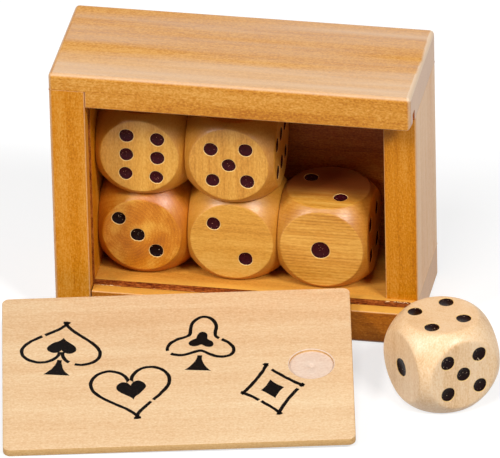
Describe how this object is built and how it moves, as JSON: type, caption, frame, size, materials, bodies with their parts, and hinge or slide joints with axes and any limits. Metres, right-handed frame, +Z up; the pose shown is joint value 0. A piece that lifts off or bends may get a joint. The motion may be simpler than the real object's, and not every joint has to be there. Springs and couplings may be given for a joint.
{
  "type": "dice set in wooden case",
  "caption": "Small wooden case with a grooved sliding lid taken off, holding rounded wooden dice whose pips are drilled and painted; one stands beside it.",
  "frame": {"origin": "middle of the underside of the case, as it stands on one long wall", "axes": "+X along the case towards the low end that the lid passes over, +Y from the open face to the back panel, +Z up"},
  "size_m": [0.1118, 0.0912, 0.062],
  "materials": {
    "case_wood": "fine sanded and clear lacquered",
    "lid_wood": "bare fine sanded",
    "die_wood": "tumbled and waxed, pips painted black",
    "print_ink": "matt screen printing ink"
  },
  "bodies": {
    "case": {"long_wall_bottom": "case_wood", "long_wall_top": "case_wood", "closed_end_wall": "case_wood", "low_end_wall": "case_wood", "back_panel": "case_wood"},
    "lid": {"sliding_lid": "lid_wood"},
    "die_upper_left": {"die_upper_left": "die_wood"},
    "die_upper_middle": {"die_upper_middle": "die_wood"},
    "die_lower_left": {"die_lower_left": "die_wood"},
    "die_lower_middle": {"die_lower_middle": "die_wood"},
    "die_lower_right": {"die_lower_right": "die_wood"},
    "die_outside": {"die_outside": "die_wood"}
  },
  "joints": [
    {"name": "lid_pick_up", "type": "slide", "parent": "case", "child": "lid", "axis": [0, -0.8, 0.6], "range_m": [0, 0.09]},
    {"name": "upper_left_out", "type": "slide", "parent": "case", "child": "die_upper_left", "axis": [0, -1, 0], "range_m": [0, 0.036]},
    {"name": "upper_middle_out", "type": "slide", "parent": "case", "child": "die_upper_middle", "axis": [0, -1, 0], "range_m": [0, 0.036]},
    {"name": "lower_left_out", "type": "slide", "parent": "case", "child": "die_lower_left", "axis": [0, -1, 0], "range_m": [0, 0.012]},
    {"name": "lower_middle_out", "type": "slide", "parent": "case", "child": "die_lower_middle", "axis": [0, -1, 0], "range_m": [0, 0.0078]},
    {"name": "lower_right_out", "type": "slide", "parent": "case", "child": "die_lower_right", "axis": [0, -0.766, 0.6428], "range_m": [0, 0.042]},
    {"name": "outside_lift", "type": "slide", "parent": "case", "child": "die_outside", "axis": [0, 0, 1], "range_m": [0, 0.04]}
  ]
}
